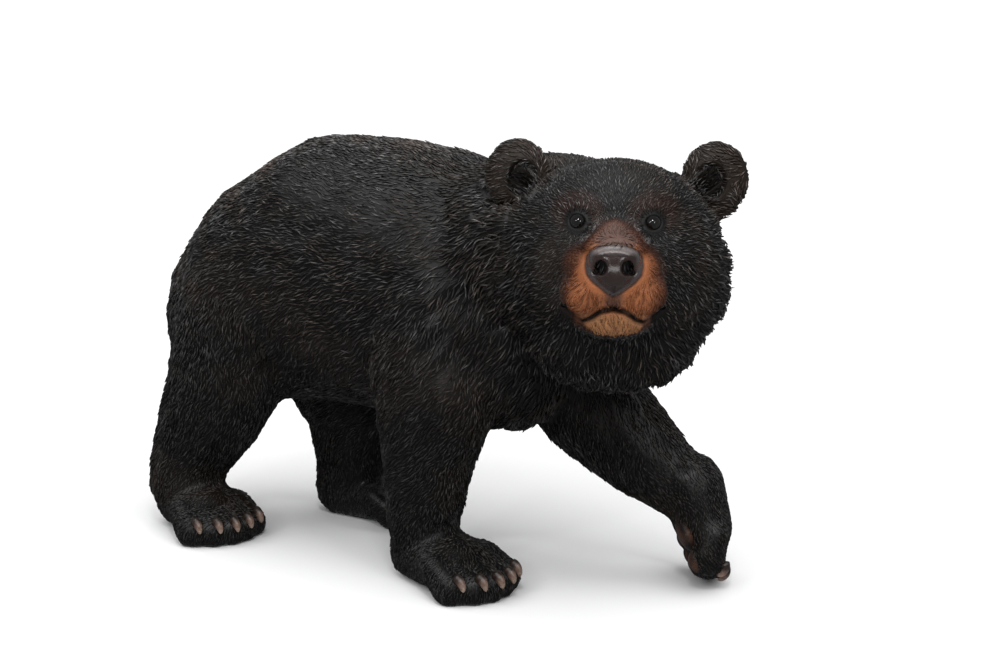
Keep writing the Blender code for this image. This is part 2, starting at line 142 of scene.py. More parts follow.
# %% Camera
scene = bpy.context.scene
TARGET = Vector((HOME.x, HOME.y, 0.27))
ROUND, ABOVE, AWAY = math.radians(35.0), math.radians(12.0), 2.6
toward = Vector((math.sin(ROUND) * math.cos(ABOVE), -math.cos(ROUND) * math.cos(ABOVE), math.sin(ABOVE)))
lens = bpy.data.cameras.new("camera")
lens.lens = 72.0
lens.sensor_width = 36.0
lens.shift_x = 0.134
lens.shift_y = 0.0045
camera = bpy.data.objects.new("camera", lens)
camera.location = TARGET + toward * AWAY
camera.rotation_euler = (-toward).to_track_quat("-Z", "Y").to_euler()
scene.collection.objects.link(camera)
scene.camera = camera
scene.view_settings.view_transform = "Standard"
print("camera at", camera.location)

# %% [markdown]
# The studio is a wide pale floor, a very soft light overhead, which draws the grey shine along the
# back, and three small ones in front that glint on the fur and in the eyes. The overhead light is
# a sun with a wide disc, because it lights the far floor as evenly as the near one. The sky is dim
# and the floor isn't mirrored in the paint, so that the eyes and the gaps in the fur stay dark.

# %% Floor, lights and sky


def plain_paint(name, colour, roughness):
    made = bpy.data.materials.new(name)
    made.use_nodes = True
    shader = made.node_tree.nodes["Principled BSDF"]
    shader.inputs["Base Color"].default_value = (*colour, 1.0)
    shader.inputs["Roughness"].default_value = roughness
    return made


bm = bmesh.new()
bmesh.ops.create_grid(bm, x_segments=1, y_segments=1, size=60.0)
floor_mesh = bpy.data.meshes.new("floor")
bm.to_mesh(floor_mesh)
bm.free()
floor = bpy.data.objects.new("floor", floor_mesh)
scene.collection.objects.link(floor)
floor.data.materials.append(plain_paint("pale floor", (0.70, 0.70, 0.70), 0.8))
floor.visible_glossy = False
floor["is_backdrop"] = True


def soft_light(name, place, width, height, power):
    lamp = bpy.data.lights.new(name, "AREA")
    lamp.shape = "RECTANGLE"
    lamp.size, lamp.size_y = width, height
    lamp.energy = power
    made = bpy.data.objects.new(name, lamp)
    made.location = place
    made.rotation_euler = (TARGET - Vector(place)).to_track_quat("-Z", "Y").to_euler()
    scene.collection.objects.link(made)


soft_light("left front", (0.1, -2.6, 1.5), 0.20, 0.20, 9.0)
soft_light("right front", (2.5, -1.4, 1.3), 0.20, 0.60, 7.0)
soft_light("above front", (1.1, -1.7, 2.3), 0.34, 0.20, 18.0)
lamp = bpy.data.lights.new("overhead", "SUN")
lamp.energy = 4.7
lamp.angle = math.radians(95.0)
overhead = bpy.data.objects.new("overhead", lamp)
overhead.rotation_euler = (math.radians(14.0), math.radians(6.0), 0.0)
scene.collection.objects.link(overhead)
sky = bpy.data.worlds.new("sky")
sky.use_nodes = True
sky.node_tree.nodes["Background"].inputs["Color"].default_value = (0.95, 0.96, 1.0, 1.0)
sky.node_tree.nodes["Background"].inputs["Strength"].default_value = 0.22
scene.world = sky

# %% [markdown]
# The body keeps the solid's form. Its facets are only there to keep the solid light, so a copy is
# joined up, remeshed to an even grain and smoothed, as a casting is when the mould is fine. The
# solid itself is left as it is and only hidden.

# %% The casting's skin


def new_piece(name, bm):
    mesh = bpy.data.meshes.new(name)
    bm.to_mesh(mesh)
    bm.free()
    made = bpy.data.objects.new(name, mesh)
    scene.collection.objects.link(made)
    return made


def apply_all(piece):
    """Makes the modifiers' result the piece's own mesh."""
    bpy.context.view_layer.update()
    made = bpy.data.meshes.new_from_object(piece.evaluated_get(bpy.context.evaluated_depsgraph_get()))
    piece.modifiers.clear()
    old, piece.data = piece.data, made
    bpy.data.meshes.remove(old)
    made.name = piece.name
    return made


def remeshed(piece, grain, rounds):
    """One even skin over everything in the piece, smoothed a number of rounds."""
    skin = piece.modifiers.new("one skin", "REMESH")
    skin.mode = "VOXEL"
    skin.voxel_size = grain
    thumb = piece.modifiers.new("wet thumb", "SMOOTH")
    thumb.factor = 0.5
    thumb.iterations = rounds
    return apply_all(piece)


def thinned(piece, ratio):
    """Fewer triangles, in the given ratio, taken away mostly where a skin is plain."""
    facets = piece.modifiers.new("facets", "DECIMATE")
    facets.ratio = ratio
    return apply_all(piece)


def vertex_values(mesh, attribute="co"):
    flat = np.empty(len(mesh.vertices) * 3)
    mesh.vertices.foreach_get(attribute, flat)
    return flat.reshape(-1, 3)


def move_vertices(mesh, places):
    mesh.vertices.foreach_set("co", places.reshape(-1))
    mesh.update()


def tree_of(mesh):
    mesh.calc_loop_triangles()
    corners = np.empty(len(mesh.loop_triangles) * 3, dtype=np.int32)
    mesh.loop_triangles.foreach_get("vertices", corners)
    return BVHTree.FromPolygons(vertex_values(mesh).tolist(), corners.reshape(-1, 3).tolist())


BODY_GRAIN = 0.0045
bm = bmesh.new()
bm.from_mesh(frame["nodes"]["bear"].data)
bmesh.ops.remove_doubles(bm, verts=bm.verts, dist=1e-5)
body = new_piece("body", bm)
remeshed(body, BODY_GRAIN, 7)
print("body skin", len(body.data.polygons), "faces")

# %% [markdown]
# The face is what people look at, so it gets a skin of its own with a grain three times finer. It is
# laid down again from the same balls and hulls of clay as the solid's head, joined by a voxel
# remesh and smoothed until they run into one another. A boolean could join them too, but it would
# leave creases where clay has none.

# %% The clay of the head
HEAD_MASSES = [
    [((0.0, 0.0, 0.0), (11.3, 12.4, 11.6))],
    [((-1.5, 0.0, -8.6), (9.3, 9.8, 6.8))],
    [((4.0, 0.0, 5.0), (6.2, 8.6, 6.2))],
    [((4.0, 0.0, 2.6), (6.0, 5.4, 4.6)), ((14.3, 0.0, 1.0), (2.2, 2.9, 2.3))],
    [((5.0, 0.0, -1.5), (6.5, 6.8, 5.6)), ((12.0, 0.0, -1.6), (4.0, 4.9, 4.0))],
    [((5.0, 0.0, -6.0), (5.0, 5.2, 3.2)), ((11.0, 0.0, -5.9), (3.2, 4.0, 2.3))],
    [((15.2, 0.0, 0.7), (1.7, 2.9, 1.8))],
    [((15.6, 0.0, -0.9), (1.5, 1.9, 1.6))],
]
PAIRED_MASSES = [
    [((-2.0, 5.3, -2.4), (8.2, 7.9, 8.4))],
    [((6.8, 4.2, 6.1), (1.9, 2.9, 1.3))],
    [((11.4, 2.9, -3.2), (3.8, 3.0, 2.6))],
    [((-2.0, 11.4, 9.4), (1.9, 3.8, 4.3))],
]
FACE_GRAIN = 0.0014


def put_ball(bm, centre, radii, rounds=4):
    size = Matrix.Diagonal((*[r * SQUARE for r in radii], 1.0))
    place = HEAD @ Matrix.Translation(Vector(centre) * SQUARE) @ size
    return bmesh.ops.create_icosphere(bm, subdivisions=rounds, radius=1.0, matrix=place)


def put_mass(bm, balls):
    """One ball, or the hull round two."""
    clay = bmesh.new()
    for centre, radii in balls:
        put_ball(clay, centre, radii)
    if len(balls) > 1:
        hull = bmesh.ops.convex_hull(clay, input=clay.verts)
        inside = [v for v in hull["geom_interior"] if isinstance(v, bmesh.types.BMVert)]
        bmesh.ops.delete(clay, geom=inside, context="VERTS")
        bmesh.ops.recalc_face_normals(clay, faces=clay.faces)
    lump = bpy.data.meshes.new("lump")
    clay.to_mesh(lump)
    clay.free()
    bm.from_mesh(lump)
    bpy.data.meshes.remove(lump)


bm = bmesh.new()
for balls in HEAD_MASSES:
    put_mass(bm, balls)
for balls in PAIRED_MASSES:
    put_mass(bm, balls)
    put_mass(bm, [((f, -s, u), radii) for (f, s, u), radii in balls])
face = new_piece("face", bm)
remeshed(face, FACE_GRAIN, 40)
print("head clay", len(face.data.polygons), "faces")

# %% [markdown]
# Only the front of the head and the ears are needed, so a plane cuts the back away and the cut is
# filled. Where the solid's ruff stands higher than this clay, the clay is lifted on to it, and where
# the clay shows, the body's skin is sunk below it, so that the two never flicker through each other.
# The body's ears are pushed right down into the head, because the finer ears are hollowed deeply.

# %% Fit the face to the body
FACE_BACK = -4.6
SUNK_DEPTH = 0.0035
EARS_SUNK_TO = 12.3
bm = bmesh.new()
bm.from_mesh(face.data)
back = HEAD @ Vector((FACE_BACK * SQUARE, 0.0, 0.0))
look = HEAD.to_3x3() @ Vector((1.0, 0.0, 0.0))
geom = bm.verts[:] + bm.edges[:] + bm.faces[:]
bmesh.ops.bisect_plane(bm, geom=geom, dist=1e-6, plane_co=back, plane_no=look, clear_inner=True)
rim = [edge for edge in bm.edges if edge.is_boundary]
bmesh.ops.holes_fill(bm, edges=rim, sides=0)
bmesh.ops.triangulate(bm, faces=[f for f in bm.faces if len(f.verts) > 4])
bm.to_mesh(face.data)
bm.free()


def stands_off(tree, places, reach=0.03):
    """How far each place stands outside a skin, below zero inside, with the nearest place on it."""
    gaps, nearest, outward = np.full(len(places), reach), places.copy(), np.zeros_like(places)
    for index, place in enumerate(places.tolist()):
        spot, normal, _, _ = tree.find_nearest(place, reach)
        if spot is not None:
            nearest[index], outward[index] = spot, normal
            off = places[index] - nearest[index]
            gaps[index] = np.linalg.norm(off) * (1.0 if off @ outward[index] > 0 else -1.0)
    return gaps, nearest, outward


body_tree, face_tree = tree_of(body.data), tree_of(face.data)
places = vertex_values(face.data)
own = in_head(places)
furry = 1.0 - smooth(3.0, 6.0, own[:, 0])
gaps, nearest, outward = stands_off(body_tree, places)
lifted = (gaps < 0.0) & (gaps > -0.014) & (furry > 0.5) & (own[:, 2] < 6.0)
places[lifted] = nearest[lifted] + outward[lifted] * 0.0002
move_vertices(face.data, places)
face_tree = tree_of(face.data)

places, normals = vertex_values(body.data), vertex_values(body.data, "normal")
own = in_head(places)
near_head = np.linalg.norm(own, axis=1) < 22.0
gaps, nearest, outward = np.full(len(places), 1.0), places.copy(), normals.copy()
gaps[near_head], nearest[near_head], outward[near_head] = stands_off(face_tree, places[near_head])
sunk = smooth(-4.4, -1.5, own[:, 0]) * (gaps < 0.003)
lowered = places - normals * (sunk * SUNK_DEPTH)[:, None]
masked = near_head & (own[:, 0] > 4.0) & (gaps > -SUNK_DEPTH) & (gaps < 0.02)
lowered[masked] = nearest[masked] - outward[masked] * SUNK_DEPTH
reach = np.linalg.norm(own, axis=1)
ears = (own[:, 0] > -3.4) & (own[:, 0] < 1.5) & (own[:, 2] > 6.2) & (np.abs(own[:, 1]) > 6.0)
ears &= (reach > EARS_SUNK_TO) & (reach < 17.5)
inner = own * (EARS_SUNK_TO / np.maximum(reach, 1.0))[:, None]
lowered[ears] = (inner @ HEAD_TURN.T * SQUARE + HEAD_PLACE)[ears]
move_vertices(body.data, lowered)
thinned(body, 0.5)
body_tree = tree_of(body.data)
print("face", len(face.data.polygons), "faces, body sunk under it at", int((sunk > 0).sum()), "points")

# %% [markdown]
# Now the face is modelled, as with a loop tool: every move presses the clay in or raises it by an
# amount that depends only on the place across and up the face. The nose is a leather pad with a
# crisp rim, the nostrils are deep commas, a groove runs from the nose to the arch of the mouth, and
# the lids are soft rings round the eyes.

# %% Model the face
# How far up, and half as wide as the nose pad is there
NOSE_OUTLINE = (
    (-4.2, -2.0), (-3.3, 0.0), (-3.0, 0.6), (-2.5, 1.3), (-1.9, 2.1), (-1.1, 2.75),
    (-0.1, 2.95), (0.9, 2.85), (1.6, 2.4), (2.05, 1.5), (2.3, 0.0), (3.1, -2.0),
)
# How far aside and how far up, on the left half, and mirrored for the right one
MOUTH_HALF = ((0.0, -4.75), (1.3, -5.1), (2.5, -5.95), (3.3, -6.3), (4.6, -5.8), (5.5, -5.0))
MOUTH = [(-s, u) for s, u in reversed(MOUTH_HALF[1:])] + list(MOUTH_HALF)
MOUTH_CORNER = (5.3, -4.8)
NOSTRIL, NOSTRIL_TAIL = (1.42, -0.20), (1.95, -0.75)
EYE = (4.2, 4.5)
EAR, EAR_HALF_SIZE = (10.8, 9.1), (2.1, 2.5)


def nose_inside(side, up):
    """How far inside the nose pad's outline a place is, in squares."""
    ups, halves = np.array(NOSE_OUTLINE).T
    across = np.interp(up, ups, halves) - np.abs(side)
    return np.minimum(across * 0.8, 2.25 - up)


def gap_to_line(side, up, line):
    """The distance in squares from a place on the face to a drawn line."""
    best = np.full(len(side), 99.0)
    for (s0, u0), (s1, u1) in zip(line, line[1:]):
        run_s, run_u = s1 - s0, u1 - u0
        share = np.clip(((side - s0) * run_s + (up - u0) * run_u) / (run_s ** 2 + run_u ** 2), 0.0, 1.0)
        best = np.minimum(best, np.hypot(side - s0 - share * run_s, up - u0 - share * run_u))
    return best


def over_mouth(on_side, up):
    """How far above the line of the mouth a place is, in squares."""
    return up - np.interp(on_side, *np.array(MOUTH_HALF).T)


def dent(side, up, centre, radii, sharp=0.5):
    """1 in the middle of an oval and 0 outside it, with walls as steep as sharp."""
    far = np.hypot((side - centre[0]) / radii[0], (up - centre[1]) / radii[1])
    return 1.0 - smooth(sharp, 1.0, far)


def ear_reach(on_side, up):
    """0 in the middle of an ear's hollow and 1 on its rim."""
    return np.hypot((on_side - EAR[0]) / EAR_HALF_SIZE[0], (up - EAR[1]) / EAR_HALF_SIZE[1])


def hump(value, middle, width):
    """1 where a value is at the middle, and next to nothing two widths from it."""
    return np.exp(-((value - middle) / width) ** 2)


places = vertex_values(face.data)
own = in_head(places)
forward, side, up = own.T
front = smooth(5.0, 8.0, forward)
push = np.zeros(len(own))
on_side = np.abs(side)
on_nose, near_nose = forward > 13.0, forward > 12.0
# The nose pad stands proud, with a crease round it, and a ridge and a step along its top
pad = nose_inside(side, up) * near_nose
push += 0.30 * smooth(-0.10, 0.22, pad) * on_nose
push -= 0.16 * hump(pad, -0.28, 0.16) * near_nose
push += 0.30 * hump(up - 1.50 + 0.10 * side ** 2, 0.0, 0.22) * smooth(2.4, 1.7, on_side) * on_nose
push -= 0.22 * smooth(1.6, 2.1, up) * smooth(2.6, 2.2, up) * smooth(2.4, 1.6, on_side) * on_nose
# Each nostril is deep, with a tail outwards and a rolled rim
nostril = dent(on_side, up, NOSTRIL, (0.72, 0.92))
nostril = np.maximum(nostril, 0.5 * dent(on_side, up, NOSTRIL_TAIL, (0.45, 0.35)))
push -= 1.25 * nostril * on_nose
rim_gap = np.abs(np.hypot((on_side - NOSTRIL[0]) / 0.72, (up - NOSTRIL[1]) / 0.92) - 1.22)
push += 0.12 * hump(rim_gap, 0.0, 0.16) * (forward > 14.0)
# The groove under the nose, the parting of the lips, their corners, and the lips themselves
push -= 0.30 * hump(side, 0.0, 0.16) * smooth(-4.4, -4.0, up) * smooth(-1.2, -2.0, up) * near_nose
mouth_gap = gap_to_line(side, up, MOUTH)
middle, heart = smooth(4.0, 3.1, on_side), smooth(3.2, 0.4, on_side)
push -= (0.22 + 0.60 * middle) * hump(mouth_gap, 0.0, 0.15 + 0.06 * heart) * front
push -= 0.40 * dent(on_side, up, MOUTH_CORNER, (0.6, 0.45)) * front
above = over_mouth(on_side, up)
push += 0.20 * hump(above, 0.55, 0.40) * front * (on_side < 5.6)
push += 0.16 * hump(above, -0.55, 0.35) * front * (on_side < 3.3)
# The lids, thicker above, the inner corner of the eye, and the socket
eye_gap = np.hypot((on_side - EYE[0]), (up - EYE[1]) * 1.08)
push += hump(eye_gap, 1.02, 0.20) * (0.05 + 0.11 * smooth(-0.4, 0.6, up - EYE[1])) * front
corner = np.hypot(on_side - EYE[0] + 1.25, up - EYE[1] + 0.55)
push -= 0.25 * hump(corner, 0.0, 0.30) * front
push -= 0.5 * dent(on_side, up, EYE, (1.0, 0.84), 0.3) * front
# The ear is hollowed in front, but not where it grows out of the head
ear_far = ear_reach(on_side, up)
in_ear = (forward > -3.2) & (ear_far < 1.0) & (forward < 2.0)
hollow = 1.9 * (1.0 - smooth(0.2, 1.0, ear_far)) * in_ear * smooth(-2.6, -1.4, forward)
push -= hollow * smooth(12.6, 13.8, np.hypot(side, up))
places += (np.outer(push, (1.0, 0.0, 0.0)) * SQUARE) @ HEAD_TURN.T
move_vertices(face.data, places)
wet = face.modifiers.new("soften", "SMOOTH")
wet.factor, wet.iterations = 0.5, 2
apply_all(face)
thinned(face, 0.5)
face_tree = tree_of(face.data)
print("the deepest press is", round(float(-push.min()) * 10, 1), "mm, at a nostril or an ear")

# %% [markdown]
# The paint is worked out from the place on the statue, as a painter masks it: nearly black all over,
# rubbed with brown here and there, tan on the muzzle with a red-brown edge, grey-brown on the
# bridge of the nose, yellower on the chin, and black in the nostrils, the mouth and the ears. The top
# of the nose pad is lighter, a painted highlight, and the body's skin between the strokes is darker,
# a painted shade. Every skin and every stroke of fur asks this one function, so the colours meet.

# %% The paint
BLACK = np.array((0.0042, 0.0039, 0.0035))
BROWN = np.array((0.030, 0.018, 0.011))
TAN = np.array((0.212, 0.072, 0.027))
RED_BROWN = np.array((0.060, 0.020, 0.010))
BRIDGE = np.array((0.076, 0.043, 0.034))
CHIN = np.array((0.225, 0.101, 0.042))
LEATHER = np.array((0.017, 0.0100, 0.0088))
LEATHER_RIM = np.array((0.044, 0.040, 0.041))
LEATHER_TOP_HIGHLIGHT = np.array((0.085, 0.071, 0.069))
NIGHT = np.array((0.0025, 0.0022, 0.002))
NOSE_FRONT = 12.5
BODY_GAP_SHADE = 0.4
# How far up, and half as wide as the tan is there
TAN_OUTLINE = (
    (-8.8, -3.0), (-7.9, 0.0), (-7.4, 2.8), (-6.3, 4.4), (-4.3, 5.3), (-2.2, 5.4),
    (0.4, 4.7), (1.9, 3.5), (3.4, 2.2), (4.4, 1.0), (4.8, 0.0), (5.8, -3.0),
)


def blend(under, over, share):
    return under + (over - under) * share[:, None]


def paint_at(places):
    """The paint's colour at each place."""
    own = in_head(places)
    forward, side, up = own.T
    on_side = np.abs(side)
    colour = np.tile(BLACK, (len(places), 1))
    colour = blend(colour, BROWN, 0.30 * smooth(0.15, 0.9, ripple(places, 0.11, 3)))
    on_face = smooth(4.5, 7.5, forward) * (np.hypot(side, up) < 13.0)
    ups, halves = np.array(TAN_OUTLINE).T
    edge = np.interp(up, ups, halves) - on_side + 0.35 * ripple(places, 0.02, 5)
    edge -= 0.55 * np.maximum(10.5 - forward, 0.0)
    colour = blend(colour, RED_BROWN, 0.85 * smooth(-1.3, 0.35, edge) * on_face)
    colour = blend(colour, TAN, smooth(0.0, 1.5, edge) * on_face)
    bridge = smooth(0.6, 2.4, up) * smooth(2.9, 1.3, on_side) * smooth(-0.6, 0.8, edge)
    colour = blend(colour, BRIDGE, bridge * on_face)
    chin = smooth(-5.0, -5.8, up) * smooth(3.9, 2.9, on_side) * smooth(0.0, 0.9, edge)
    colour = blend(colour, CHIN, chin * on_face)
    dark = smooth(1.5, 0.4, on_side) * smooth(-1.9, -2.5, up) * smooth(-5.2, -4.6, up)
    colour = blend(colour, LEATHER * 1.6, 0.8 * dark * on_face)
    mouth = gap_to_line(side, up, MOUTH)
    middle = smooth(4.0, 3.1, on_side)
    colour = blend(colour, LEATHER, (0.25 + 0.35 * middle) * smooth(0.75, 0.2, mouth) * on_face)
    heart = smooth(3.2, 0.4, on_side)
    colour = blend(colour, NIGHT, (0.45 + 0.55 * middle) * smooth(0.24, 0.08, mouth - 0.05 * heart) * on_face)
    colour = blend(colour, NIGHT, dent(on_side, up, MOUTH_CORNER, (0.65, 0.5)) * on_face)
    pad, on_nose = nose_inside(side, up), forward > NOSE_FRONT
    rim = smooth(-0.2, 0.05, pad) * smooth(0.55, 0.2, pad)
    colour = blend(colour, LEATHER, smooth(-0.35, -0.05, pad) * on_nose)
    colour = blend(colour, LEATHER_RIM, 0.7 * rim * on_nose)
    # A painted highlight lightens the top plane of the nose pad
    colour = blend(colour, LEATHER_TOP_HIGHLIGHT, 0.85 * smooth(1.0, 1.6, up) * smooth(-0.1, 0.15, pad) * on_nose)
    nostril = dent(on_side, up, NOSTRIL, (0.82, 1.0))
    nostril = np.maximum(nostril, 0.6 * dent(on_side, up, NOSTRIL_TAIL, (0.5, 0.4)))
    colour = blend(colour, NIGHT, nostril * on_nose)
    eye = np.hypot(on_side - EYE[0], up - EYE[1])
    over_eye = np.hypot(on_side - EYE[0], (up - EYE[1] - 1.2) * 1.3)
    colour = blend(colour, RED_BROWN * 0.35, 0.6 * smooth(3.6, 2.2, over_eye) * on_face)
    colour = blend(colour, NIGHT, smooth(1.9, 1.2, eye) * on_face)
    ear = ear_reach(on_side, up)
    in_ear = (forward > -4.5) & (forward < 2.5) & (up > 4.0)
    colour = blend(colour, BROWN, 0.5 * smooth(2.3, 1.6, ear) * in_ear)
    colour = blend(colour, NIGHT, smooth(1.35, 0.5, ear) * in_ear)
    return colour


def put_paint(mesh, colours):
    """Stores a colour for each vertex under the name that the materials read."""
    layer = mesh.color_attributes.new("paint", "FLOAT_COLOR", "POINT")
    four = np.ones((len(mesh.vertices), 4))
    four[:, :3] = colours
    layer.data.foreach_set("color", four.reshape(-1))


# The body's skin shows only between the strokes, so it is darkened there as painted shade
put_paint(body.data, paint_at(vertex_values(body.data)) * BODY_GAP_SHADE)
put_paint(face.data, paint_at(vertex_values(face.data)))
print("painted", len(body.data.vertices) + len(face.data.vertices), "points")

# %% [markdown]
# The fur lies along a comb: places on the body with the way the fur lies there, how long, wide and
# lifted a stroke is, in millimetres. In between, the nearest rows are blended. On the head the
# strokes run away from the nose and grow from the fine ones of the face to the long ones of the
# ruff. Particle hair could do this, but hair isn't part of a casting and doesn't leave Blender.

# %% The comb
COMB = [
    ((20.0, 0.0, 53.0), (-1.0, 0.0, 0.0), 11.0, 2.6, 1.7, False),
    ((0.0, 0.0, 54.0), (-1.0, 0.0, -0.1), 11.0, 2.6, 1.7, False),
    ((-16.0, 0.0, 48.0), (-1.0, 0.0, -0.6), 11.0, 2.7, 1.9, False),
    ((-28.0, 0.0, 36.0), (-0.2, 0.0, -1.0), 12.0, 2.8, 2.2, False),
    ((-16.0, 10.0, 43.0), (-1.0, 0.1, -0.1), 12.0, 2.8, 1.4, True),
    ((2.0, 10.0, 44.0), (-1.0, 0.1, 0.5), 12.0, 2.8, 1.5, True),
    ((14.0, 11.0, 43.0), (-1.0, 0.1, -0.25), 13.0, 2.9, 1.5, True),
    ((-4.0, 13.0, 36.0), (-1.0, 0.0, -0.15), 13.0, 2.9, 1.6, True),
    ((-20.0, 12.0, 34.0), (-0.5, 0.0, -0.9), 12.0, 2.9, 1.5, True),
    ((-4.0, 14.0, 26.0), (-0.35, 0.0, -1.0), 14.0, 2.9, 1.7, True),
    ((8.0, 14.0, 33.0), (-0.8, 0.0, -0.4), 13.0, 2.9, 1.6, True),
    ((12.0, 13.0, 26.0), (-0.7, 0.0, -0.8), 14.0, 2.9, 1.7, True),
    ((18.0, 13.0, 32.0), (-0.5, 0.0, -0.9), 14.0, 3.0, 1.7, True),
    ((-26.0, 9.0, 24.0), (-0.1, 0.0, -1.0), 12.0, 2.8, 1.5, True),
    ((-16.0, 12.0, 24.0), (0.1, 0.0, -1.0), 12.0, 2.8, 1.5, True),
    ((0.0, 0.0, 18.0), (-1.0, 0.0, 0.0), 13.0, 3.2, 1.5, False),
    ((30.0, 0.0, 24.0), (-0.4, 0.0, -1.0), 17.0, 3.2, 2.4, False),
    ((26.0, -11.0, 34.0), (-0.5, 0.0, -0.9), 17.0, 3.1, 2.6, False),
    ((24.0, 12.0, 36.0), (-0.6, 0.1, -0.8), 17.0, 3.1, 2.4, False),
    ((17.0, -14.0, 20.0), (-0.8, 0.0, -0.6), 10.0, 2.6, 1.2, False),
    ((11.0, -9.0, 16.0), (-0.5, 0.0, -0.9), 12.0, 2.8, 1.6, False),
    ((19.0, -12.0, 13.0), (-0.8, 0.0, -0.6), 11.0, 2.7, 1.8, False),
    ((20.0, -10.0, 8.0), (0.2, 0.0, -1.0), 9.0, 2.3, 1.2, False),
    ((33.0, 12.0, 20.0), (0.5, 0.0, -0.9), 11.0, 2.6, 1.5, False),
    ((30.0, 6.0, 16.0), (0.4, 0.0, -0.9), 12.0, 2.8, 2.0, False),
    ((41.0, 9.0, 14.0), (0.5, 0.2, -0.9), 8.0, 2.2, 1.0, False),
    ((-20.0, -13.0, 14.0), (-0.7, 0.0, -0.8), 11.0, 2.7, 1.8, False),
    ((-27.0, -9.0, 10.0), (-0.1, 0.0, -1.0), 11.0, 2.7, 1.8, False),
    ((-8.0, 14.0, 14.0), (-0.2, 0.0, -1.0), 10.0, 2.6, 1.2, False),
    ((-13.0, 9.0, 10.0), (0.0, 0.0, -1.0), 10.0, 2.6, 1.3, False),
]
COMB_SPREAD = 6.0
SLIMMER = 0.80
FACE_STROKE = (7.5, 1.75, 0.9)
MUZZLE_STROKE = (5.0, 1.4, 0.45)
RUFF_STROKE = (16.0, 2.5, 3.2)
PAW_STROKE = (8.0, 1.9, 0.6)
PAWS = {
    "right fore": ((16.4, -9.2, 3.4), -16.0, 0.0, 10.4),
    "left fore": ((43.4, 8.8, 10.8), 35.0, 68.0, 8.2),
    "right hind": ((-22.4, -8.8, 3.4), -22.0, 0.0, 9.8),
    "left hind": ((-7.8, 8.8, 3.4), 8.0, 0.0, 9.8),
}


def comb_at(places):
    """The fur at each place: the way it lies, and a stroke's length, width and lift in metres."""
    rows = []
    for spot, flow, long, wide, lift, both in COMB:
        for hand in ((1, -1) if both else (1,)):
            place, way = (spot[0], spot[1] * hand, spot[2]), (flow[0], flow[1] * hand, flow[2])
            rows.append((*place, *way, long, wide * SLIMMER, lift))
    rows = np.array(rows)
    squares = (places - np.array(HOME)) / SQUARE
    gap = ((squares[:, None, :] - rows[None, :, :3]) ** 2).sum(2)
    near = np.exp(-(gap - gap.min(1, keepdims=True)) / (2 * COMB_SPREAD ** 2))
    near /= near.sum(1, keepdims=True)
    fur = near @ rows[:, 3:]
    own = in_head(places)
    headed = smooth(18.0, 13.5, np.linalg.norm(own, axis=1))
    away = own - (16.0, 0.0, 1.0)
    away[:, 2] -= 3.0
    away = away @ HEAD_TURN.T
    away /= np.linalg.norm(away, axis=1, keepdims=True)
    from_eye = own - np.array((9.0, 0.0, EYE[1])) - np.array((0.0, EYE[0], 0.0)) * np.sign(own[:, 1:2])
    from_eye[:, 0] = 0.0
    round_eye = smooth(2.8, 1.6, np.linalg.norm(from_eye, axis=1)) * (own[:, 0] > 5.0)
    from_eye = from_eye @ HEAD_TURN.T
    from_eye /= np.linalg.norm(from_eye, axis=1, keepdims=True) + 1e-9
    away = blend(away, from_eye, round_eye)
    fur[:, :3] = blend(fur[:, :3], away, headed)
    top = smooth(2.0, 9.0, own[:, 2])
    round_face = smooth(6.5, 12.0, np.hypot(own[:, 1], np.minimum(own[:, 2] + 1.0, 0.0) * 1.15))
    ruff = np.maximum(smooth(5.5, -2.5, own[:, 0]), round_face) * (1.0 - 0.75 * top)
    stroke = blend(np.tile(FACE_STROKE, (len(places), 1)), np.array(RUFF_STROKE), ruff)
    stroke = blend(stroke, np.array(MUZZLE_STROKE), smooth(8.5, 10.5, own[:, 0]))
    fur[:, 3:] = blend(fur[:, 3:], stroke, headed)
    for wrist, heading, pitch, reach in PAWS.values():
        middle = np.array(turned(pitch, heading, wrist) @ (Vector((reach * 0.55, 0.0, -1.5)) * SQUARE))
        close = smooth(9.5, 6.5, np.linalg.norm(places - middle, axis=1) / SQUARE)
        fur[:, 3:] = blend(fur[:, 3:], np.array(PAW_STROKE), close)
    return fur[:, :3], fur[:, 3] * 0.001, fur[:, 4] * 0.001, fur[:, 5] * 0.001


# %% [markdown]
# Roots are thrown at random over the skins and thinned so that none stands nearer another than a
# share of its own stroke. A k-d tree finds the neighbours, so fifty thousand roots take a second or
# two. The throw is seeded, so it comes out the same each time.

# %% The roots


def throw_roots(mesh, keep, crowd, seed):
    """Places and normals spread over a mesh, as close as their strokes need, where keep allows."""
    mesh.calc_loop_triangles()
    corners = np.empty(len(mesh.loop_triangles) * 3, dtype=np.int32)
    mesh.loop_triangles.foreach_get("vertices", corners)
    corners = corners.reshape(-1, 3)
    spots = vertex_values(mesh)[corners]
    cross = np.cross(spots[:, 1] - spots[:, 0], spots[:, 2] - spots[:, 0])
    area = np.linalg.norm(cross, axis=1) / 2
    middle = spots.mean(1)
    _, long, wide, _ = comb_at(middle)
    room = long * wide * crowd
    want = area / room * 3.2 * keep(middle, cross)
    dice = np.random.default_rng(seed)
    count = int(want.sum())
    picked = dice.choice(len(want), size=count, p=want / want.sum())
    a, b = dice.random(count), dice.random(count)
    flip = a + b > 1
    a[flip], b[flip] = 1 - a[flip], 1 - b[flip]
    spots = spots[picked]
    thrown = spots[:, 0] + (spots[:, 1] - spots[:, 0]) * a[:, None] + (spots[:, 2] - spots[:, 0]) * b[:, None]
    radius = np.sqrt(room[picked]) * 0.82
    tree = kdtree.KDTree(count)
    for index, place in enumerate(thrown.tolist()):
        tree.insert(place, index)
    tree.balance()
    free, kept = bytearray(b"\x01") * count, []
    for index, place in enumerate(thrown.tolist()):
        if free[index]:
            kept.append(index)
            for _, other, _ in tree.find_range(place, radius[index]):
                free[other] = 0
    kept = np.array(kept)
    outward = cross[picked][kept]
    return thrown[kept], outward / np.linalg.norm(outward, axis=1, keepdims=True)


